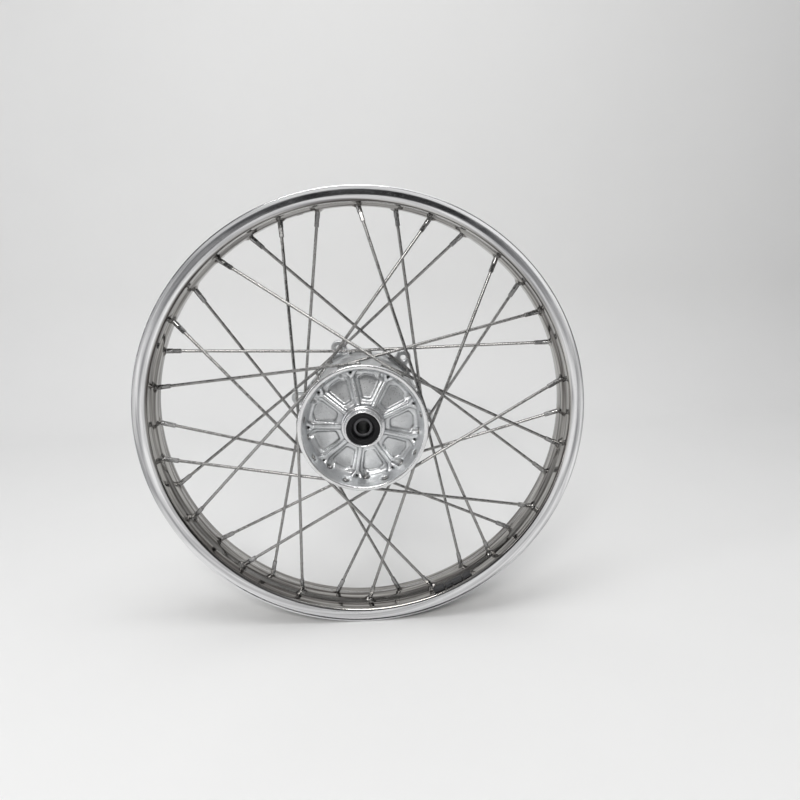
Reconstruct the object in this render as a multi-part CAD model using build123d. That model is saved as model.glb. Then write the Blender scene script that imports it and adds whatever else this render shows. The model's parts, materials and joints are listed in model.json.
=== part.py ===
from build123d import *
import os
from math import cos, degrees, radians, sin, sqrt, tan

# Spoked motorcycle wheel, 19 x 1.85, millimetres.
# The wheel turns about Y. The origin is on the axis, in the middle plane of the rim.
# -Y is the near side, with the ribbed hub cup. +Y is the far side, with the disc mount.
# Every angle is measured about Y from +Z towards +X.

# ---------------------------------------------------------------- rim
RIM_OUTER_R = 256.0
SEAT_R = 242.3
SEAT_UNDER_R = 240.0
WELL_UNDER_R = 236.2
WELL_FLOOR_R = 238.4
FLANGE_INNER_Y = 23.5
FLANGE_OUTER_Y = 25.9
FLANGE_LIP_Y = 28.2
DIMPLE_CENTRE_R = 241.6
DIMPLE_OUTER_R = 7.2
DIMPLE_INNER_R = 5.0
NIPPLE_HOLE_R = 3.05
VALVE_HOLE_R = 4.15
VALVE_ANGLE = 345.0

# ---------------------------------------------------------------- lacing
SIDE_SPOKES = 18
SPOKE_PITCH = 360.0 / SIDE_SPOKES
NIPPLE_Y = 5.2
LACING_TURN = 80.0
HUB_PHASE = -1.0
SPOKE_R = 1.75
SPOKE_BEND_R = 3.0
HEAD_R = 3.4
HEAD_THICKNESS = 2.2
SPOKE_TIP_RUN = 1.2
# side: (sign of y, rim phase, rows), each row (offset along y, line radius, head seat radius).
# The first row holds the spokes that lead, the second those that trail.
NEAR = (-1, 0.0, ((44.6, 72.1, 66.4), (34.4, 71.8, 64.6)))
FAR = (1, SPOKE_PITCH / 2, ((29.0, 73.6, 65.4), (40.6, 73.6, 65.4)))

# ---------------------------------------------------------------- nipple
NIPPLE_R = 2.85
NIPPLE_FLATS = 4.9
NIPPLE_FLATS_LENGTH = 9.5
NIPPLE_REACH = 22.6
NIPPLE_HEAD_R = 4.97
NIPPLE_HEAD_TOP = 0.6
NIPPLE_BORE_R = 1.80
SLOT_WIDTH = 1.2
SLOT_DEPTH = 1.3

# ---------------------------------------------------------------- hub
LIP_OUTER_R = 71.75
LIP_INNER_R = 67.25
LIP_Y = -55.4
NEAR_DRUM_R = 69.2
WAIST_R = 66.5
FAR_DRUM_R = 69.6
FAR_FACE_Y = 51.0
REGISTER_R = 68.0
REGISTER_Y = 54.0
BOSS_R = 24.3
BOSS_Y = 46.3
NOSE_R = 20.7
NEAR_NOSE_Y = -55.0
FAR_NOSE_Y = 53.5
TUBE_R = 21.5
TUBE_BORE_R = 14.4
LAND_BOSS_Y = -38.5
LAND_WALL_Y = -30.5
LAND_WALL_R = 61.5
POCKET_DEPTH = 3.0
RIB_COUNT = 9
RIB_PHASE = 28.5
RIB_WIDTH = 4.2
RIB_HEIGHT = 2.6
FORK_R = 56.0
FORK_WIDTH = 3.4
FORK_SPREAD = 38.0
FORK_REACH = 12.5
FORK_RISE = 5.0
POCKET_SIDE_GAP = 4.6
POCKET_INNER_R = 29.5
POCKET_OUTER_R = 59.0
POCKET_SHOULDER = 5.5
POCKET_MOUTH_Y = -41.0
POCKET_TAPER = 8.0
SPOT_FACE_R = 4.5
SPOT_FACE_RUN = 9.0
SPOKE_HOLE_R = 1.95
SPOKE_MOUTH_R = 2.4
SPOKE_MOUTH_DEPTH = 3.6
BACK_RIB_COUNT = 6
BACK_RIB_WIDTH = 5.0
BACK_RIB_LOW_Y = -28.0
BACK_RIB_HIGH_Y = 34.0
BACK_RIB_OUTER_R = 66.0
EAR_COUNT = 6
EAR_PHASE = 40.0
EAR_BOLT_R = 80.0
EAR_TIP_R = 9.5
EAR_THICKNESS = 6.5
PLATE_FLAT_R = 70.2
PLATE_INNER_R = 66.5
DISC_BOLT_R = 3.4
DISC_BOLT_DEPTH = 11.0

# ---------------------------------------------------------------- bearings, 15 x 35 x 11
AXLE_R = 7.5
BEARING_R = 17.5
BEARING_WIDTH = 11.0
NEAR_BEARING_Y = -41.0
FAR_BEARING_Y = 39.5
INNER_LAND_R = 10.6
OUTER_LAND_R = 14.6
BALL_PITCH_R = 12.6
BALL_R = 2.9
BALL_COUNT = 8
RACE_GROOVE_R = 3.15
CAGE_INNER_R = 11.9
CAGE_OUTER_R = 13.3
CAGE_HALF_WIDTH = 3.6
SHIELD_INSET = 0.5
SHIELD_THICKNESS = 0.8
SHIELD_INNER_R = 10.95
SHIELD_OUTER_R = 15.2
CAGE_CLEARANCE = 0.12
SPACER_R = 10.3

# ---------------------------------------------------------------- dust seals
SEAL_R = 18.5
SEAL_WIDTH = 6.4
SEAL_LIP_R = 12.3
SEAL_INSET = 0.2
SEAL_GAP = 1.2

# ---------------------------------------------------------------- balance weights
WEIGHT_SEAT_R = 239.3
WEIGHT_THICKNESS = 3.2
WEIGHT_WIDTH = 8.2
WEIGHT_Y = -18.0
WEIGHT_START = 147.6
WEIGHT_LENGTHS = (11.0, 14.6, 9.0, 14.6)
WEIGHT_GAP = 0.7


def spot(radius, y, angle):
    """Point at a radius and angle about the wheel's axis."""
    return Vector(radius * sin(radians(angle)), y, radius * cos(radians(angle)))


def revolved(outline):
    """Solid of revolution about Y, from (radius, y, corner radius) points."""
    points = [(r, y) for r, y, _ in outline]
    corners = [c for _, _, c in outline]
    return revolve(make_face(FilletPolyline(*points, radius=corners, close=True)), Axis.Y)


def ring(inner_r, outer_r, low_y, high_y):
    """Plain ring about the wheel's axis."""
    return revolved([(inner_r, low_y, 0), (outer_r, low_y, 0), (outer_r, high_y, 0), (inner_r, high_y, 0)])


def around(shape, count, phase):
    """Copies of a shape modelled at the top of the wheel, spread evenly about Y."""
    return [shape.rotate(Axis.Y, phase + 360.0 / count * k) for k in range(count)]


def ball_at(centre, radius):
    """Sphere whose poles lie along the line from its centre to the wheel's axis."""
    return Plane(origin=centre, z_dir=Vector(centre.X, 0, centre.Z)) * Sphere(radius)


def rod(start, direction, radius, length):
    """Cylinder from a start point along a direction."""
    return Plane(origin=start, z_dir=direction) * Cylinder(
        radius, length, align=(Align.CENTER, Align.CENTER, Align.MIN)
    )


# ---------------------------------------------------------------- lacing geometry
def lacing(side):
    """Rim point, hub corner, head seat and direction of each spoke on one side."""
    sign, phase, rows = side
    places = []
    for k in range(SIDE_SPOKES):
        row_y, line_r, seat_r = rows[k % 2]
        turn = LACING_TURN if k % 2 == 0 else -LACING_TURN
        rim_angle = phase + SPOKE_PITCH * k
        hub_angle = rim_angle + turn + HUB_PHASE
        rim_point = spot(DIMPLE_CENTRE_R, sign * NIPPLE_Y, rim_angle)
        corner = spot(line_r, sign * row_y, hub_angle)
        seat = spot(seat_r, sign * row_y, hub_angle)
        places.append((rim_point, corner, seat, (corner - rim_point).normalized()))
    return places


NEAR_LACING = lacing(NEAR)
FAR_LACING = lacing(FAR)


# ---------------------------------------------------------------- rim
def under_half(sign):
    """Half of the rim's outer outline, from the middle of the well out to the flange's lip."""
    half = [
        (WELL_UNDER_R + 0.3, 6.0, 0),
        (SEAT_UNDER_R - 0.7, 13.6, 0),
        (SEAT_UNDER_R, FLANGE_OUTER_Y - 1.4, 3.4),
        (SEAT_R + 3.6, FLANGE_OUTER_Y + 0.3, 0),
        (RIM_OUTER_R - 4.0, FLANGE_OUTER_Y + 0.9, 0),
        (RIM_OUTER_R - 0.2, FLANGE_LIP_Y + 0.2, 1.0),
        (RIM_OUTER_R, FLANGE_LIP_Y - 2.1, 0),
    ]
    return [(r, sign * y, corner) for r, y, corner in half]


def floor_half(sign):
    """Half of the tyre channel's outline, from the middle of the well out past the flange's lip."""
    half = [
        (WELL_FLOOR_R + 0.1, 6.8, 0),
        (SEAT_R - 0.7, 13.2, 0),
        (SEAT_R, FLANGE_INNER_Y, 2.0),
        (RIM_OUTER_R - 4.0, FLANGE_INNER_Y + 0.6, 0),
        (RIM_OUTER_R + 6.0, FLANGE_INNER_Y + 5.6, 0),
    ]
    return [(r, sign * y, corner) for r, y, corner in half]


def make_rim():
    """Rolled steel rim with a pressed dimple and a hole for each nipple, and the valve hole."""
    blank = revolved([(WELL_UNDER_R, 0, 0)] + under_half(1) + under_half(-1)[::-1])
    channel = revolved([(WELL_FLOOR_R, 0, 0)] + floor_half(1) + floor_half(-1)[::-1])
    lacings = NEAR_LACING + FAR_LACING
    bumps = [ball_at(rim_point, DIMPLE_OUTER_R) for rim_point, _, _, _ in lacings]
    pockets = [ball_at(rim_point, DIMPLE_INNER_R) for rim_point, _, _, _ in lacings]
    holes = [rod(rim_point, way, NIPPLE_HOLE_R, 12.0) for rim_point, _, _, way in lacings]
    valve = rod(spot(WELL_UNDER_R - 8, 0, VALVE_ANGLE), spot(1, 0, VALVE_ANGLE), VALVE_HOLE_R, 16.0)
    return blank + bumps - channel - pockets - holes - valve


# ---------------------------------------------------------------- spokes and nipples
def make_spoke(place):
    """Spoke with a button head, a bend just outside the hub wall and a straight run to the rim."""
    rim_point, corner, seat, way = place
    outward = (corner - seat).normalized()
    end = rim_point + way * SPOKE_TIP_RUN
    root = seat - outward * (HEAD_THICKNESS / 2)
    path = FilletPolyline(root, corner, end, radius=SPOKE_BEND_R)
    wire = sweep(Plane(origin=root, z_dir=outward) * Circle(SPOKE_R), path=path)
    profile = FilletPolyline(
        (0, -HEAD_THICKNESS),
        (HEAD_R, -HEAD_THICKNESS),
        (HEAD_R, -0.9),
        (SPOKE_R, 0.0),
        (0, 0.0),
        radius=[1.2, 0.3, 0],
    )
    outline = make_face(Wire([*profile.edges(), Line((0, 0), (0, -HEAD_THICKNESS))]))
    head = revolve(Plane.XZ * outline, Axis.Z)
    return wire + Plane(origin=seat, z_dir=outward) * head


def make_nipple(place):
    """Spoke nipple: slotted ball head, round shank, four wrench flats at the spoke end."""
    rim_point, _, _, way = place
    shank = Cylinder(NIPPLE_R, NIPPLE_REACH, align=(Align.CENTER, Align.CENTER, Align.MIN))
    shank = chamfer(shank.edges().group_by(Axis.Z)[-1], 0.45)
    flats_low = NIPPLE_REACH - NIPPLE_FLATS_LENGTH
    keep = Pos(0, 0, flats_low) * Box(
        NIPPLE_FLATS, NIPPLE_FLATS, NIPPLE_FLATS_LENGTH + 1, align=(Align.CENTER, Align.CENTER, Align.MIN)
    )
    keep = keep + Cylinder(NIPPLE_R + 1, flats_low, align=(Align.CENTER, Align.CENTER, Align.MIN))
    shank = shank & keep
    slab = Pos(0, 0, -NIPPLE_HEAD_TOP) * Cylinder(
        NIPPLE_HEAD_R + 1, 5.0, align=(Align.CENTER, Align.CENTER, Align.MIN)
    )
    head = Sphere(NIPPLE_HEAD_R) & slab
    slot = Pos(0, 0, -NIPPLE_HEAD_TOP) * Box(SLOT_WIDTH, 12, 2 * SLOT_DEPTH)
    bore = Cylinder(NIPPLE_BORE_R, 80)
    body = shank + head - slot - bore
    return Plane(origin=rim_point, z_dir=way) * body


# ---------------------------------------------------------------- hub
def hub_section():
    """Closed outline of the turned shape of the hub: (radius, y, corner radius)."""
    near_cup = [
        (SEAL_R, NEAR_NOSE_Y, 0),
        (NOSE_R, NEAR_NOSE_Y, 0.5),
        (NOSE_R, -BOSS_Y, 0.6),
        (BOSS_R, -BOSS_Y, 0.9),
        (BOSS_R, LAND_BOSS_Y, 2.0),
        (LAND_WALL_R, LAND_WALL_Y, 4.5),
        (LIP_INNER_R, LIP_Y, 0.4),
        (LIP_OUTER_R, LIP_Y, 0.7),
    ]
    drum = [
        (LIP_OUTER_R, LIP_Y + 4.4, 0.8),
        (NEAR_DRUM_R, LIP_Y + 6.0, 1.2),
        (NEAR_DRUM_R, -27.0, 8.0),
        (WAIST_R, -17.0, 8.0),
        (WAIST_R, 12.0, 8.0),
        (FAR_DRUM_R, 22.0, 8.0),
        (FAR_DRUM_R, FAR_FACE_Y, 0.4),
        (REGISTER_R, FAR_FACE_Y, 0),
        (REGISTER_R, REGISTER_Y, 0.5),
    ]
    far_cup = [
        (64.6, REGISTER_Y, 0.5),
        (61.5, -23.5, 7.0),
        (TUBE_R, -29.0, 5.0),
        (TUBE_R, 26.0, 6.0),
        (BOSS_R, 32.0, 4.0),
        (BOSS_R, BOSS_Y, 0.9),
        (NOSE_R, BOSS_Y, 0.6),
        (NOSE_R, FAR_NOSE_Y, 0.5),
        (SEAL_R, FAR_NOSE_Y, 0),
    ]
    near_step = NEAR_BEARING_Y - BEARING_WIDTH / 2 - SEAL_GAP
    near_shoulder = NEAR_BEARING_Y + BEARING_WIDTH / 2
    far_shoulder = FAR_BEARING_Y - BEARING_WIDTH / 2
    far_step = FAR_BEARING_Y + BEARING_WIDTH / 2 + SEAL_GAP
    bore = [
        (SEAL_R, far_step, 0),
        (BEARING_R, far_step, 0),
        (BEARING_R, far_shoulder, 0),
        (TUBE_BORE_R, far_shoulder, 0),
        (TUBE_BORE_R, near_shoulder, 0),
        (BEARING_R, near_shoulder, 0),
        (BEARING_R, near_step, 0),
        (SEAL_R, near_step, 0),
    ]
    return near_cup + drum + far_cup + bore


def land_y(radius):
    """Height along Y of the cup's floor at a radius."""
    share = (radius - BOSS_R) / (LAND_WALL_R - BOSS_R)
    return LAND_BOSS_Y + share * (LAND_WALL_Y - LAND_BOSS_Y)


def pocket_tools():
    """Nine petal-shaped recesses between the ribs of the near cup."""
    half = 180.0 / RIB_COUNT
    slope = tan(radians(half))
    gap = POCKET_SIDE_GAP / cos(radians(half))
    inner = POCKET_INNER_R * slope - gap
    shoulder_r = POCKET_OUTER_R - POCKET_SHOULDER
    outer = shoulder_r * slope - gap
    points = [
        (-inner, POCKET_INNER_R),
        (inner, POCKET_INNER_R),
        (outer, shoulder_r),
        (outer * 0.42, POCKET_OUTER_R),
        (-outer * 0.42, POCKET_OUTER_R),
        (-outer, shoulder_r),
    ]
    face = make_face(FilletPolyline(*points, radius=[3.6, 3.6, 4.0, 5.0, 5.0, 4.0], close=True))
    # The recess opens towards -Y: its sketch plane has X to the right and Z up.
    plane = Plane(origin=(0, POCKET_MOUTH_Y, 0), x_dir=(1, 0, 0), z_dir=(0, -1, 0))
    prism = extrude(plane * face, amount=-18.0, taper=POCKET_TAPER)
    floor = revolved(
        [
            (BOSS_R - 4, -60, 0),
            (LAND_WALL_R + 4, -60, 0),
            (LAND_WALL_R + 4, land_y(LAND_WALL_R + 4) + POCKET_DEPTH, 0),
            (BOSS_R - 4, land_y(BOSS_R - 4) + POCKET_DEPTH, 0),
        ]
    )
    return around(prism & floor, RIB_COUNT, RIB_PHASE - half)


def ridge(start, end, width, start_y, end_y, base_y):
    """Straight ridge seen along Y, its top running from start_y to end_y, its foot at base_y."""
    run = Vector(end[0] - start[0], 0, end[1] - start[1])
    length = run.length
    side = Plane(
        origin=(start[0], 0, start[1]),
        x_dir=run.normalized(),
        z_dir=Vector(0, -1, 0).cross(run.normalized()),
    )
    face = make_face(Polyline((0, start_y), (length, end_y), (length, base_y), (0, base_y), close=True))
    return extrude(side * face, amount=width / 2, both=True)


def rib_tools():
    """Nine ribs that fork in two before they meet the cup's wall."""
    top_boss = land_y(BOSS_R) - RIB_HEIGHT - 0.8
    top_fork = land_y(FORK_R) - RIB_HEIGHT
    base = LAND_WALL_Y + 2.0
    rib = ridge((0, BOSS_R - 2.0), (0, FORK_R + 1.2), RIB_WIDTH, top_boss, top_fork, base)
    for turn in (-FORK_SPREAD, FORK_SPREAD):
        end = (FORK_REACH * sin(radians(turn)), FORK_R + FORK_REACH * cos(radians(turn)))
        rib = rib + ridge((0, FORK_R), end, FORK_WIDTH, top_fork, top_fork - FORK_RISE, base)
    inside = revolved(
        [
            (BOSS_R - 3.0, -58, 0),
            (LIP_INNER_R - 0.2, -52.0, 0),
            (LAND_WALL_R + 3.5, base, 0),
            (BOSS_R - 3.0, base, 0),
        ]
    )
    return around(rib & inside, RIB_COUNT, RIB_PHASE)


def disc_plate():
    """Six-sided plate on the far face, with an ear for a brake disc's bolt at each corner."""
    step = 360.0 / EAR_COUNT
    corner_r = PLATE_FLAT_R / cos(radians(step / 2))
    turns = [radians(EAR_PHASE + step * k) for k in range(EAR_COUNT)]
    outline = make_face(Polyline(*[(corner_r * sin(a), corner_r * cos(a)) for a in turns], close=True))
    for a in turns:
        outline = outline + Pos(EAR_BOLT_R * sin(a), EAR_BOLT_R * cos(a)) * Circle(EAR_TIP_R)
    outline = outline - Circle(PLATE_INNER_R)
    plane = Plane(origin=(0, FAR_FACE_Y, 0), x_dir=(1, 0, 0), z_dir=(0, -1, 0))
    return extrude(plane * outline, amount=EAR_THICKNESS)


def make_hub():
    """Cast hub: drum, near cup with ribs and petals, far cup with back ribs, ears, spoke holes."""
    hub = revolved(hub_section())
    hub = hub - pocket_tools()
    hub = hub + rib_tools()
    back_start = Pos(0, BACK_RIB_LOW_Y, TUBE_R - 1.0)
    back_rib = back_start * Box(
        BACK_RIB_WIDTH,
        BACK_RIB_HIGH_Y - BACK_RIB_LOW_Y,
        BACK_RIB_OUTER_R - TUBE_R,
        align=(Align.CENTER, Align.MIN, Align.MIN),
    )
    hub = hub + around(back_rib, BACK_RIB_COUNT, EAR_PHASE)
    hub = hub + disc_plate()
    cuts = []
    for place in NEAR_LACING + FAR_LACING:
        _, corner, seat, _ = place
        outward = (corner - seat).normalized()
        cuts.append(rod(seat - outward * 6.0, outward, SPOKE_HOLE_R, 20.0))
        cuts.append(rod(corner - outward * SPOKE_MOUTH_DEPTH, outward, SPOKE_MOUTH_R, 4.0))
        cuts.append(rod(seat - outward * SPOT_FACE_RUN, outward, SPOT_FACE_R, SPOT_FACE_RUN))
    bolt = rod((0, FAR_FACE_Y + 1, EAR_BOLT_R), (0, -1, 0), DISC_BOLT_R, DISC_BOLT_DEPTH + 1)
    cuts += around(bolt, EAR_COUNT, EAR_PHASE)
    return hub - cuts


# ---------------------------------------------------------------- bearings and seals
def groove(centre_y):
    """Ring-shaped ball track."""
    track = Pos(BALL_PITCH_R, centre_y) * Circle(RACE_GROOVE_R)
    return revolve(track, Axis.Y)


def make_inner_race(centre_y):
    """Bearing inner ring on the axle."""
    low = centre_y - BEARING_WIDTH / 2
    high = centre_y + BEARING_WIDTH / 2
    outline = [
        (AXLE_R, low, 0.6),
        (INNER_LAND_R, low, 0.3),
        (INNER_LAND_R, high, 0.3),
        (AXLE_R, high, 0.6),
    ]
    return revolved(outline) - groove(centre_y)


def make_outer_race(centre_y):
    """Bearing outer ring in the hub, stepped at each side for its shield."""
    low = centre_y - BEARING_WIDTH / 2
    high = centre_y + BEARING_WIDTH / 2
    step = SHIELD_INSET + SHIELD_THICKNESS
    step_r = SHIELD_OUTER_R + 0.02
    outline = [
        (step_r, low, 0),
        (BEARING_R - 0.01, low, 0.5),
        (BEARING_R - 0.01, high, 0.5),
        (step_r, high, 0),
        (step_r, high - step, 0),
        (OUTER_LAND_R, high - step, 0),
        (OUTER_LAND_R, low + step, 0),
        (step_r, low + step, 0),
    ]
    return revolved(outline) - groove(centre_y)


def ball_places(centre_y):
    """Centres of one bearing's balls."""
    return [spot(BALL_PITCH_R, centre_y, 360.0 / BALL_COUNT * k) for k in range(BALL_COUNT)]


def make_balls(centre_y):
    """One bearing's balls, as separate solids."""
    return [Pos(*place) * Sphere(BALL_R) for place in ball_places(centre_y)]


def make_cage(centre_y):
    """Ball cage: a thin ring with a round pocket for each ball."""
    body = ring(CAGE_INNER_R, CAGE_OUTER_R, centre_y - CAGE_HALF_WIDTH, centre_y + CAGE_HALF_WIDTH)
    axle = Vector(0, centre_y, 0)
    return body - [rod(axle, place - axle, BALL_R + CAGE_CLEARANCE, 20.0) for place in ball_places(centre_y)]


def make_shields(centre_y):
    """The two rubber shields of one bearing."""
    solids = []
    for sign in (-1, 1):
        outer_face = centre_y + sign * (BEARING_WIDTH / 2 - SHIELD_INSET)
        inner_face = outer_face - sign * SHIELD_THICKNESS
        low, high = sorted((outer_face, inner_face))
        solids.append(ring(SHIELD_INNER_R, SHIELD_OUTER_R, low + 0.01, high))
    return solids


def make_seal(face_y, inward):
    """Rubber dust seal with a rolled face and a lip; inward is the sign of y towards the bearing."""
    outline = [
        (SEAL_R - 0.01, face_y + inward * 0.5, 0.8),
        (SEAL_R - 0.01, face_y + inward * SEAL_WIDTH, 0.3),
        (SEAL_R - 1.6, face_y + inward * SEAL_WIDTH, 0.5),
        (SEAL_R - 1.6, face_y + inward * 2.6, 0.8),
        (SEAL_LIP_R + 1.6, face_y + inward * 2.6, 0.5),
        (SEAL_LIP_R + 1.2, face_y + inward * 5.2, 0.4),
        (SEAL_LIP_R, face_y + inward * 5.2, 0.3),
        (SEAL_LIP_R + 0.3, face_y + inward * 0.9, 0.6),
        (SEAL_LIP_R + 2.6, face_y + inward * 0.9, 0.5),
        (SEAL_R - 2.4, face_y + inward * 0.5, 0.4),
    ]
    return revolved(outline)


# ---------------------------------------------------------------- balance weights
def make_weights():
    """Four stick-on balance weights in a row under the near bead seat."""
    solids = []
    angle = WEIGHT_START
    for length in WEIGHT_LENGTHS:
        span = degrees(length / WEIGHT_SEAT_R)
        block = Box(length, WEIGHT_WIDTH, WEIGHT_THICKNESS, align=(Align.CENTER, Align.CENTER, Align.MAX))
        block = fillet(block.edges().filter_by(Axis.Z), 1.6)
        block = fillet(block.faces().sort_by(Axis.Z)[0].edges(), 0.9)
        # The flat top stays inside the circle of the seat, so the block's ends touch it.
        sag = WEIGHT_SEAT_R - sqrt(WEIGHT_SEAT_R ** 2 - (length / 2) ** 2)
        block = Pos(0, WEIGHT_Y, WEIGHT_SEAT_R - sag - 0.05) * block
        solids.append(block.rotate(Axis.Y, angle + span / 2))
        angle += span + degrees(WEIGHT_GAP / WEIGHT_SEAT_R)
    return solids


# ---------------------------------------------------------------- output
def save(shape, name):
    """Write one node; a list becomes a group of separate solids."""
    if isinstance(shape, (list, tuple, ShapeList)):
        shape = Compound(children=[Compound(solid.solids()) if len(solid.solids()) > 1 else solid.solid()
                                   for solid in shape])
    export_step(shape, "parts/" + name + ".step")


def build():
    """Make every node of the wheel."""
    os.makedirs("parts", exist_ok=True)
    save(make_rim(), "rim")
    save(make_hub(), "hub")
    for side_name, places in (("near", NEAR_LACING), ("far", FAR_LACING)):
        for k, place in enumerate(places):
            save(make_spoke(place), f"spoke_{side_name}_{k + 1:02d}")
        save([make_nipple(place) for place in places], f"nipples_{side_name}")
    for side_name, centre_y in (("near", NEAR_BEARING_Y), ("far", FAR_BEARING_Y)):
        save(make_inner_race(centre_y), f"bearing_inner_race_{side_name}")
        save(make_outer_race(centre_y), f"bearing_outer_race_{side_name}")
        save(make_balls(centre_y), f"bearing_balls_{side_name}")
        save(make_cage(centre_y), f"bearing_cage_{side_name}")
        save(make_shields(centre_y), f"bearing_shields_{side_name}")
    save(make_seal(NEAR_NOSE_Y + SEAL_INSET, 1), "dust_seal_near")
    save(make_seal(FAR_NOSE_Y - SEAL_INSET, -1), "dust_seal_far")
    spacer_low = NEAR_BEARING_Y + BEARING_WIDTH / 2
    spacer_high = FAR_BEARING_Y - BEARING_WIDTH / 2
    save(ring(AXLE_R, SPACER_R, spacer_low, spacer_high), "bearing_spacer_tube")
    save(make_weights(), "balance_weights")


build()
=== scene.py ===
import json
from math import ceil, cos, pi, radians, sin, sqrt, tau

import bpy
from mathutils import Matrix, Vector


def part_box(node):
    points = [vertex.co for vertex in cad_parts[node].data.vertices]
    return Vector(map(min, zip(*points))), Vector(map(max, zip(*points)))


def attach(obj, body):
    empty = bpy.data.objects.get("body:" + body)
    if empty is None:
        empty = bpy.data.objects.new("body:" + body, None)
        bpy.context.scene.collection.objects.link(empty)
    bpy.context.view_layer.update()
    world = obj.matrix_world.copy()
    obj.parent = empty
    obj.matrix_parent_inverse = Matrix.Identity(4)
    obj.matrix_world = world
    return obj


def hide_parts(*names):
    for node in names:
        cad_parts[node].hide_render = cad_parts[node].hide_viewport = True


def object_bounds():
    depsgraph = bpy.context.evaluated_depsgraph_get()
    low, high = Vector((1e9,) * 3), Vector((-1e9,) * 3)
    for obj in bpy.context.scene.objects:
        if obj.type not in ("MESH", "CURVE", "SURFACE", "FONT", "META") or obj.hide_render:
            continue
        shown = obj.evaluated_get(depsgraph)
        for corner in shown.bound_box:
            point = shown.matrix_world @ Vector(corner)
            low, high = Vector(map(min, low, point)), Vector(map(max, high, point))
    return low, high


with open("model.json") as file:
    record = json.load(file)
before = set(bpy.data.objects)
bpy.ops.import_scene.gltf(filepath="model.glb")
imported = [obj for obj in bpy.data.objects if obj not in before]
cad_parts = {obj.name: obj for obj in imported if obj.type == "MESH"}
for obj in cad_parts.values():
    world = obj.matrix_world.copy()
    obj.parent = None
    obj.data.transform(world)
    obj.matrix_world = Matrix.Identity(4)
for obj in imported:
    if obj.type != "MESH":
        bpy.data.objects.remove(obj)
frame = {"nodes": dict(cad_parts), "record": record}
CAD_BOX = [list(corner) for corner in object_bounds()]
MM = 0.001

# ------------------------------------------------------------------ sizes, millimetres
RIM_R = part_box("rim")[1].z / MM
WELL_R = 236.2
SEAT_R = 242.3
FLANGE_Y = 25.9
INNER_Y = 23.5
LIP_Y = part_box("rim")[1].y / MM
WALL = 2.2
UNDERSIDE_R = 242.5
UNDERSIDE_Y = 24.6
RIM_STEPS = 1080
RIM_SECTION_STEP = 1.1
SIDE_SPOKES = 18
SPOKE_PITCH = 360.0 / SIDE_SPOKES
NIPPLE_Y = 5.2
DIMPLE_CENTRE_R = 241.6
DIMPLE_R = 7.2
DIMPLE_BLEND = 0.45
VALVE_ANGLE = 345.0
VALVE_HOLE_R = 4.15
VALVE_DRILL_LENGTH = 30.0
LIP_FACE_Y = -54.3
BOSS_FACE_Y = -45.5
BOSS_FACE_R = 26.2
FAR_FACE_Y = 50.2
TURNING_RINGS = 5200.0
GRINDING_RINGS = 16000.0
HUB_VOXEL = 0.9
HUB_SMOOTHING = 5

# ------------------------------------------------------------------ camera
CAMERA_AT = Vector((0.0048, -0.6696, 0.1830))
CAMERA_TURN = Vector((0.240, -0.022, 0.060))
CAMERA_LENS = 26.37


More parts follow.
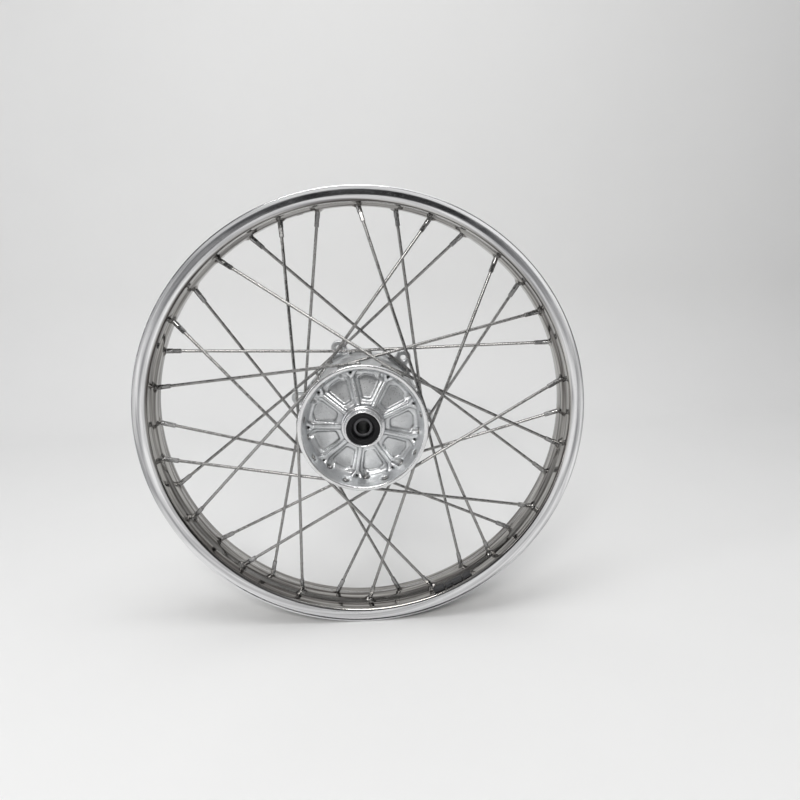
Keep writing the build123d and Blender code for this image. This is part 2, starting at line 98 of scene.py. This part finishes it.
# ------------------------------------------------------------------ materials
class Look:
    """A material whose nodes are wired by name."""

    def __init__(self, name, color, metallic, roughness):
        self.material = bpy.data.materials.new(name)
        self.material.use_nodes = True
        self.tree = self.material.node_tree
        self.shader = self.tree.nodes["Principled BSDF"]
        self.shader.inputs["Base Color"].default_value = (*color, 1)
        self.shader.inputs["Metallic"].default_value = metallic
        self.shader.inputs["Roughness"].default_value = roughness
        self.place = self.add("ShaderNodeTexCoord").outputs["Object"]

    def add(self, kind, **values):
        """New node; values name its inputs, underscores standing for spaces."""
        node = self.tree.nodes.new(kind)
        for name, value in values.items():
            self.feed(node.inputs[name.replace("_", " ")], value)
        return node

    def feed(self, socket, value):
        """Set a socket to a number, or link it to another socket."""
        if isinstance(value, bpy.types.NodeSocket):
            self.tree.links.new(value, socket)
        else:
            socket.default_value = value

    def noise(self, scale, detail=4.0, rough=0.55, stretch=None):
        """Noise over the object's own coordinates; scale is features per metre."""
        place = self.place
        if stretch:
            place = self.add("ShaderNodeVectorMath", Vector=place).outputs[0]
            place.node.operation = "MULTIPLY"
            place.node.inputs[1].default_value = stretch
        node = self.add("ShaderNodeTexNoise", Vector=place, Scale=scale, Detail=detail, Roughness=rough)
        return node.outputs["Fac"]

    def ramp(self, value, low, high, out_low=0.0, out_high=1.0):
        """Map value from low..high to out_low..out_high, clamped."""
        node = self.add("ShaderNodeMapRange", Value=value)
        for name, number in zip(("From Min", "From Max", "To Min", "To Max"), (low, high, out_low, out_high)):
            node.inputs[name].default_value = number
        return node.outputs["Result"]

    def math(self, operation, first, second=0.0):
        """One arithmetic step."""
        node = self.add("ShaderNodeMath")
        node.operation = operation
        self.feed(node.inputs[0], first)
        self.feed(node.inputs[1], second)
        return node.outputs[0]

    def mix(self, share, first, second):
        """Colour between first and second."""
        node = self.add("ShaderNodeMix")
        node.data_type = "RGBA"
        self.feed(node.inputs["Factor"], share)
        for socket, value in ((node.inputs[6], first), (node.inputs[7], second)):
            self.feed(socket, value if isinstance(value, bpy.types.NodeSocket) else (*value, 1))
        return node.outputs[2]

    def radius(self):
        """Distance from the wheel's axis, in metres."""
        flat = self.add("ShaderNodeVectorMath", Vector=self.place)
        flat.operation = "MULTIPLY"
        flat.inputs[1].default_value = (1, 0, 1)
        length = self.add("ShaderNodeVectorMath", Vector=flat.outputs[0])
        length.operation = "LENGTH"
        return length.outputs["Value"]

    def streaks(self, scale, drift):
        """Noise that runs on round the wheel and changes across its section, used for painted reflection
        streaks.
        """
        section = self.add("ShaderNodeCombineXYZ", X=self.radius(), Y=self.depth())
        wander = self.add("ShaderNodeVectorMath", Vector=self.place)
        wander.operation = "MULTIPLY"
        wander.inputs[1].default_value = (drift, 0, drift)
        spot = self.add("ShaderNodeVectorMath", Vector=section.outputs[0])
        self.feed(spot.inputs[1], wander.outputs[0])
        return self.add("ShaderNodeTexNoise", Vector=spot.outputs[0], Scale=scale, Detail=3.0).outputs["Fac"]

    def depth(self):
        """Place along the wheel's axis, in metres."""
        return self.add("ShaderNodeSeparateXYZ", Vector=self.place).outputs["Y"]

    def bump(self, height, distance, strength=1.0, under=None):
        """Add a bump to the shader; returns the normal so that bumps can be stacked."""
        node = self.add("ShaderNodeBump", Height=height, Distance=distance, Strength=strength)
        if under is not None:
            self.feed(node.inputs["Normal"], under)
        self.feed(self.shader.inputs["Normal"], node.outputs[0])
        return node.outputs[0]

    def finish(self, color=None, roughness=None):
        """Wire the colour and the roughness."""
        if color is not None:
            self.feed(self.shader.inputs["Base Color"], color)
        if roughness is not None:
            self.feed(self.shader.inputs["Roughness"], roughness)
        return self.material


def rim_chrome():
    """Chrome plate: light and dark streaks round the rim painted as reflections, an underside painted darker
    and brownish as painted shade, small spots and hairline scratches.
    """
    look = Look("rim_chrome", (0.74, 0.74, 0.75), 1.0, 0.1)
    haze = look.noise(14, 3)
    inner = look.ramp(look.radius(), UNDERSIDE_R * MM, (UNDERSIDE_R + 2.5) * MM, 1.0, 0.0)
    middle = look.ramp(
        look.math("ABSOLUTE", look.depth()), UNDERSIDE_Y * MM, (UNDERSIDE_Y + 1.0) * MM, 1.0, 0.0
    )
    under = look.math("MULTIPLY", inner, middle)
    spots = look.ramp(look.noise(700, 5, 0.7), 0.62, 0.74)
    scratches = look.ramp(look.noise(260, 6, 0.75, (1, 6, 1)), 0.56, 0.70)
    # painted reflection: light and dark streaks round the rim stand in for the room reflected in the chrome
    streaks = look.ramp(look.streaks(230, 0.035), 0.36, 0.62)
    flange = look.mix(streaks, (0.32, 0.32, 0.33), (0.78, 0.78, 0.79))
    # painted shade: the underside colour is darker and brownish to stand in for the darker reflections under
    # the rim
    underside = look.mix(streaks, (0.11, 0.10, 0.095), (0.46, 0.45, 0.43))
    clean = look.mix(under, flange, underside)
    color = look.mix(look.math("MULTIPLY", spots, 0.45), clean, (0.36, 0.31, 0.26))
    rough = look.math("ADD", look.ramp(haze, 0.35, 0.65, 0.05, 0.13), look.math("MULTIPLY", scratches, 0.10))
    rough = look.math("ADD", rough, look.math("MULTIPLY", spots, 0.22))
    ripple = look.bump(look.noise(30, 2), 0.0004, 0.35)
    look.bump(look.noise(1500, 3), 0.00003, 0.25, ripple)
    return look.finish(color, rough)


def hub_casting():
    """Satin cast aluminium with sand grain, painted shade darkening the concave corners, and machined rings.
    """
    look = Look("hub_casting", (0.62, 0.63, 0.64), 0.85, 0.38)
    radius, depth = look.radius(), look.depth()
    lip = look.math("LESS_THAN", depth, LIP_FACE_Y * MM)
    near_boss = look.math("LESS_THAN", depth, BOSS_FACE_Y * MM)
    boss = look.math("MULTIPLY", near_boss, look.math("LESS_THAN", radius, BOSS_FACE_R * MM))
    face = look.math("GREATER_THAN", depth, FAR_FACE_Y * MM)
    machined = look.math("MAXIMUM", look.math("MAXIMUM", lip, boss), face)
    unmachined = look.math("SUBTRACT", 1.0, machined)
    grain = look.noise(650, 6, 0.65)
    patches = look.noise(38, 5, 0.6)
    edge = look.add("ShaderNodeNewGeometry").outputs["Pointiness"]
    corner = look.ramp(edge, 0.495, 0.44)
    worn = look.math("MULTIPLY", look.ramp(edge, 0.53, 0.60), unmachined)
    cast = look.mix(look.ramp(patches, 0.3, 0.7), (0.56, 0.57, 0.58), (0.76, 0.77, 0.78))
    cast = look.mix(look.ramp(grain, 0.58, 0.75, 0.0, 0.35), cast, (0.30, 0.30, 0.30))
    # painted shade: concave corners found by pointiness are darkened almost to black
    cast = look.mix(look.math("MULTIPLY", corner, 0.95), cast, (0.07, 0.07, 0.069))
    cast = look.mix(look.math("MULTIPLY", worn, 0.7), cast, (0.90, 0.90, 0.90))
    rings = look.math("SINE", look.math("MULTIPLY", radius, TURNING_RINGS))
    bright = look.mix(look.ramp(patches, 0.35, 0.7), (0.66, 0.66, 0.67), (0.80, 0.80, 0.80))
    color = look.mix(machined, cast, bright)
    rough = look.math("ADD", look.ramp(grain, 0.3, 0.7, 0.24, 0.40), look.ramp(machined, 0, 1, 0, -0.14))
    sand = look.math("MULTIPLY", grain, look.math("SUBTRACT", 1.0, look.math("MULTIPLY", machined, 0.85)))
    under = look.bump(sand, 0.00022, 0.55)
    look.bump(look.math("MULTIPLY", rings, machined), 0.00003, 0.12, under)
    return look.finish(color, rough)


def plated(name, dark, light, roughness, grain_scale):
    """Zinc-plated steel: softly bright, a little mottled, with darker stains."""
    look = Look(name, dark, 1.0, roughness)
    mottle = look.noise(grain_scale, 5, 0.65)
    stain = look.ramp(look.noise(120, 4, 0.6), 0.52, 0.68)
    color = look.mix(look.ramp(mottle, 0.3, 0.7), dark, light)
    color = look.mix(look.math("MULTIPLY", stain, 0.3), color, tuple(0.5 * c for c in dark))
    look.bump(look.noise(grain_scale * 3, 3), 0.00003, 0.2)
    return look.finish(color, look.ramp(mottle, 0.3, 0.7, roughness - 0.07, roughness + 0.1))


def ground_steel(name, tone, roughness):
    """Ground bearing steel with fine turning rings."""
    look = Look(name, tone, 1.0, roughness)
    rings = look.math("SINE", look.math("MULTIPLY", look.radius(), GRINDING_RINGS))
    haze = look.noise(160, 4)
    color = look.mix(haze, tuple(0.8 * c for c in tone), tuple(min(1.0, 1.15 * c) for c in tone))
    look.bump(rings, 0.00002, 0.3)
    return look.finish(color, look.ramp(haze, 0.3, 0.7, roughness - 0.05, roughness + 0.08))


def rubber():
    """Black rubber with a little dust and moulding grain."""
    look = Look("seal_rubber", (0.012, 0.012, 0.013), 0.0, 0.5)
    look.shader.inputs["Specular IOR Level"].default_value = 0.22
    dust = look.ramp(look.noise(240, 5, 0.7), 0.50, 0.78)
    color = look.mix(look.math("MULTIPLY", dust, 0.5), (0.005, 0.005, 0.006), (0.030, 0.029, 0.028))
    look.bump(look.noise(2200, 3), 0.00005, 0.4)
    return look.finish(color, look.ramp(dust, 0, 1, 0.42, 0.66))


def weight_coating():
    """Black coating of the balance weights, rubbed grey in places."""
    look = Look("weight_black", (0.016, 0.016, 0.018), 0.0, 0.42)
    rub = look.ramp(look.noise(420, 5, 0.7), 0.60, 0.74)
    color = look.mix(look.math("MULTIPLY", rub, 0.5), (0.014, 0.014, 0.016), (0.14, 0.14, 0.14))
    look.bump(look.noise(900, 3), 0.0001, 0.45)
    return look.finish(color, look.ramp(rub, 0, 1, 0.36, 0.6))


def plain(name, tone, roughness, grain):
    """Pale matt surface of the floor and the wall."""
    look = Look(name, tone, 0.0, roughness)
    cloud = look.noise(3, 3)
    color = look.mix(cloud, tuple(0.96 * c for c in tone), tone)
    look.bump(look.noise(grain, 3), 0.0002, 0.1)
    return look.finish(color, look.ramp(cloud, 0.3, 0.7, roughness - 0.04, roughness + 0.04))


LOOKS = {
    "rim_chrome": rim_chrome(),
    "hub_casting": hub_casting(),
    "spoke_steel": plated("spoke_steel", (0.29, 0.285, 0.28), (0.37, 0.365, 0.355), 0.26, 160),
    "nipple_steel": plated("nipple_steel", (0.26, 0.26, 0.26), (0.38, 0.375, 0.37), 0.25, 260),
    # painted shade: the bearing race is coloured dark to stand in for the shade inside the bore, with a
    # little oil film
    "race_steel": ground_steel("race_steel", (0.11, 0.11, 0.115), 0.34),
    "ball_steel": ground_steel("ball_steel", (0.75, 0.75, 0.76), 0.10),
    "cage_steel": ground_steel("cage_steel", (0.45, 0.43, 0.40), 0.35),
    "seal_rubber": rubber(),
    # painted shade: the spacer is coloured almost black so the axle bore reads as dark shade
    "spacer_steel": ground_steel("spacer_steel", (0.035, 0.035, 0.036), 0.45),
    "weight_black": weight_coating(),
}


def dress_nodes():
    """Give every CAD node the material of its slot."""
    for entry in frame["record"]["subparts"]:
        node = frame["nodes"][entry["node"]]
        node.data.materials.clear()
        node.data.materials.append(LOOKS[entry["material_slot"]])


# ------------------------------------------------------------------ pieces
def new_piece(name, mesh, body, node, slot):
    """Object for a mesh that stands for one CAD node."""
    piece = bpy.data.objects.new(name, mesh)
    bpy.context.scene.collection.objects.link(piece)
    mesh.materials.clear()
    mesh.materials.append(LOOKS[slot])
    for polygon in mesh.polygons:
        polygon.use_smooth = True
    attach(piece, body)
    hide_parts(node)
    return piece


def rounded_outline(corners, step):
    """Closed outline through corners (r, y, radius), its corners turned into arcs, as (r, y)."""
    outline = []
    count = len(corners)
    for k in range(count):
        here = Vector(corners[k][:2])
        before = (Vector(corners[k - 1][:2]) - here).normalized()
        after = (Vector(corners[(k + 1) % count][:2]) - here).normalized()
        radius = corners[k][2]
        if radius == 0:
            outline.append(here)
            continue
        half = before.angle(after) / 2
        cut = radius / (sin(half) / cos(half))
        centre = here + (before + after).normalized() * (radius / sin(half))
        start, end = here + before * cut - centre, here + after * cut - centre
        turn = start.angle(end)
        pieces = max(3, ceil(turn * radius / step))
        sign = 1 if start.x * end.y - start.y * end.x > 0 else -1
        for i in range(pieces + 1):
            arm = start.copy()
            arm.rotate(Matrix.Rotation(sign * turn * i / pieces, 2))
            outline.append(centre + arm)
    dense = []
    for k, point in enumerate(outline):
        following = outline[(k + 1) % len(outline)]
        pieces = max(1, ceil((following - point).length / step))
        dense += [point.lerp(following, i / pieces) for i in range(pieces)]
    return dense


def rim_outline():
    """Section of the rim: the underside and flanges, then back along the tyre channel."""
    under = [
        (WELL_R + 0.3, 6.0, 6.0),
        (SEAT_R - 3.0, 13.6, 2.2),
        (SEAT_R - 2.3, FLANGE_Y - 1.4, 3.4),
        (SEAT_R + 3.6, FLANGE_Y + 0.3, 2.4),
        (RIM_R - 4.0, FLANGE_Y + 0.9, 4.0),
        (RIM_R - 0.3, LIP_Y + 0.1, 0.9),
        (RIM_R, LIP_Y - 1.9, 0.8),
    ]
    inside = [
        (RIM_R - 4.0, INNER_Y + 0.6, 3.0),
        (SEAT_R, INNER_Y, 2.0),
        (SEAT_R - 0.7, 13.2, 1.4),
        (WELL_R + WALL + 0.1, 6.8, 4.0),
    ]
    right = under + inside
    left = [(r, -y, corner) for r, y, corner in right]
    return right + left[::-1]


def soft_max(first, second, blend):
    """Larger of two numbers, rounded off where they meet."""
    share = max(blend - abs(first - second), 0.0) / blend
    return max(first, second) + share * share * blend / 4


def dimple_depth(distance):
    """How far the metal is pressed towards the hub, at a distance from a dimple's middle."""
    if distance > DIMPLE_R:
        return 0.0
    cap = sqrt(DIMPLE_R ** 2 - distance ** 2) - (DIMPLE_CENTRE_R - WELL_R - 0.1)
    return soft_max(0.0, cap, 2 * DIMPLE_BLEND)


def make_rim():
    """Rim with pressed dimples as one even grid, and a drilled valve hole."""
    outline = rim_outline()
    section = rounded_outline(outline, RIM_SECTION_STEP)
    vertices = []
    for step in range(RIM_STEPS):
        angle = tau * step / RIM_STEPS
        turns = angle / radians(SPOKE_PITCH)
        near_gap = (turns - round(turns)) * radians(SPOKE_PITCH)
        far_gap = (turns - 0.5 - round(turns - 0.5)) * radians(SPOKE_PITCH)
        for r, y in section:
            if abs(y) < NIPPLE_Y + DIMPLE_R and r < SEAT_R:
                gap = near_gap if y < 0 else far_gap
                side = -NIPPLE_Y if y < 0 else NIPPLE_Y
                distance = sqrt((gap * WELL_R) ** 2 + (y - side) ** 2)
                other_gap = far_gap if y < 0 else near_gap
                other = sqrt((other_gap * WELL_R) ** 2 + (y + side) ** 2)
                r = r - max(dimple_depth(distance), dimple_depth(other))
            vertices.append((r * sin(angle) * MM, y * MM, r * cos(angle) * MM))
    width = len(section)
    faces = []
    for step in range(RIM_STEPS):
        here, there = step * width, ((step + 1) % RIM_STEPS) * width
        for k in range(width):
            after = (k + 1) % width
            faces.append((here + k, here + after, there + after, there + k))
    mesh = bpy.data.meshes.new("rim_shell")
    mesh.from_pydata(vertices, [], faces)
    mesh = drilled(mesh, VALVE_ANGLE, VALVE_HOLE_R)
    return new_piece("rim_shell", mesh, "wheel", "rim", "rim_chrome")


def drilled(mesh, angle, radius):
    """The mesh with a round hole through the middle of the well."""
    blank = bpy.data.objects.new("rim_blank", mesh)
    bpy.context.scene.collection.objects.link(blank)
    way = Vector((sin(radians(angle)), 0, cos(radians(angle))))
    bpy.ops.mesh.primitive_cylinder_add(
        vertices=48, radius=radius * MM, depth=VALVE_DRILL_LENGTH * MM, location=way * WELL_R * MM
    )
    drill = bpy.context.object
    drill.rotation_mode = "QUATERNION"
    drill.rotation_quaternion = way.to_track_quat("Z", "Y")
    cut = blank.modifiers.new("hole", "BOOLEAN")
    cut.operation = "DIFFERENCE"
    cut.object = drill
    cut.solver = "EXACT"
    result = applied(blank, "rim_shell")
    bpy.data.objects.remove(drill)
    bpy.data.objects.remove(blank)
    return result


def applied(piece, name):
    """New mesh with the piece's modifiers applied."""
    bpy.context.view_layer.update()
    evaluated = piece.evaluated_get(bpy.context.evaluated_depsgraph_get())
    mesh = bpy.data.meshes.new_from_object(evaluated)
    mesh.name = name
    return mesh


def make_hub():
    """Casting of the hub: the CAD shape with every edge and corner rounded as a mould leaves it."""
    blank = bpy.data.objects.new("hub_blank", frame["nodes"]["hub"].data.copy())
    bpy.context.scene.collection.objects.link(blank)
    weld = blank.modifiers.new("weld", "WELD")
    weld.merge_threshold = 0.00001
    grid = blank.modifiers.new("grid", "REMESH")
    grid.mode = "VOXEL"
    grid.voxel_size = HUB_VOXEL * MM
    soften = blank.modifiers.new("soften", "SMOOTH")
    soften.factor = 0.5
    soften.iterations = HUB_SMOOTHING
    mesh = applied(blank, "hub_casting")
    bpy.data.objects.remove(blank)
    return new_piece("hub_casting", mesh, "wheel", "hub", "hub_casting")


# ------------------------------------------------------------------ studio
def make_stage():
    """Pale floor that curves up into a pale wall behind the wheel."""
    ground = CAD_BOX[0][2]
    bend, back, front, side, top = 0.35, 1.15, -4.0, 5.0, 4.0
    profile = [(front, ground), (back - bend, ground)]
    for k in range(1, 25):
        turn = pi / 2 * k / 24
        profile.append((back - bend + bend * sin(turn), ground + bend - bend * cos(turn)))
    profile.append((back, ground + top))
    vertices = [(x, y, z) for y, z in profile for x in (-side, side)]
    faces = [(2 * k, 2 * k + 1, 2 * k + 3, 2 * k + 2) for k in range(len(profile) - 1)]
    mesh = bpy.data.meshes.new("studio_sweep")
    mesh.from_pydata(vertices, [], faces)
    for polygon in mesh.polygons:
        polygon.use_smooth = True
    mesh.materials.append(plain("studio_sweep", (0.86, 0.86, 0.855), 0.7, 60))
    sweep = bpy.data.objects.new("studio_sweep", mesh)
    bpy.context.scene.collection.objects.link(sweep)


def area_light(name, at, aim, size, power, tone=(1, 1, 1)):
    """Rectangular soft light at a place, facing an aim."""
    data = bpy.data.lights.new(name, "AREA")
    data.shape = "RECTANGLE"
    data.size, data.size_y = size
    data.energy = power
    data.color = tone
    light = bpy.data.objects.new(name, data)
    bpy.context.scene.collection.objects.link(light)
    light.location = at
    light.rotation_mode = "QUATERNION"
    light.rotation_quaternion = (Vector(aim) - Vector(at)).to_track_quat("-Z", "Y")


def make_lights():
    """Soft ceiling light, a softbox in front and a narrow side light, in a room with dark and pale bands."""
    area_light("ceiling", (0.1, -0.3, 2.2), (0, 0.1, 0), (2.0, 1.0), 22)
    area_light("softbox", (-0.25, -1.7, 1.25), (0, 0, 0), (0.9, 0.4), 19, (1.0, 0.99, 0.97))
    area_light("window", (-2.0, -0.9, 0.5), (0, 0, 0), (0.35, 1.5), 9, (0.97, 0.98, 1.0))
    world = bpy.data.worlds.new("room")
    bpy.context.scene.world = world
    world.use_nodes = True
    nodes, links = world.node_tree.nodes, world.node_tree.links
    place = nodes.new("ShaderNodeTexCoord")
    split = nodes.new("ShaderNodeSeparateXYZ")
    links.new(place.outputs["Generated"], split.inputs[0])
    shades = nodes.new("ShaderNodeValToRGB")
    links.new(split.outputs["Z"], shades.inputs[0])
    stops = shades.color_ramp.elements
    stops[0].position, stops[0].color = 0.0, (0.05, 0.05, 0.052, 1)
    stops[1].position, stops[1].color = 0.9, (0.70, 0.71, 0.73, 1)
    for position, tone in ((0.10, 0.30), (0.20, 0.06), (0.34, 0.10), (0.48, 0.55)):
        band = stops.new(position)
        band.color = (tone, tone, 1.02 * tone, 1)
    seen = nodes.new("ShaderNodeMix")
    seen.data_type = "RGBA"
    seen.inputs[7].default_value = (0.80, 0.80, 0.795, 1)
    links.new(nodes.new("ShaderNodeLightPath").outputs["Is Camera Ray"], seen.inputs["Factor"])
    links.new(shades.outputs[0], seen.inputs[6])
    links.new(seen.outputs[2], nodes["Background"].inputs["Color"])
    nodes["Background"].inputs["Strength"].default_value = 0.6


def make_camera():
    """Camera where the wheel was seen from: in front, a little above the axle, looking slightly down."""
    turn = Matrix.Rotation(CAMERA_TURN.length, 3, CAMERA_TURN.normalized()).transposed()
    right = turn @ Vector((1, 0, 0))
    up = turn @ Vector((0, 0, 1))
    back = turn @ Vector((0, -1, 0))
    data = bpy.data.cameras.new("camera")
    data.lens = CAMERA_LENS
    data.sensor_width = 36.0
    data.clip_start = 0.01
    camera = bpy.data.objects.new("camera", data)
    bpy.context.scene.collection.objects.link(camera)
    camera.matrix_world = Matrix.Translation(CAMERA_AT) @ Matrix((right, up, back)).transposed().to_4x4()
    bpy.context.scene.camera = camera


dress_nodes()
make_rim()
make_hub()
make_stage()
make_lights()
make_camera()
bpy.context.scene.view_settings.view_transform = "Standard"
bpy.context.view_layer.update()
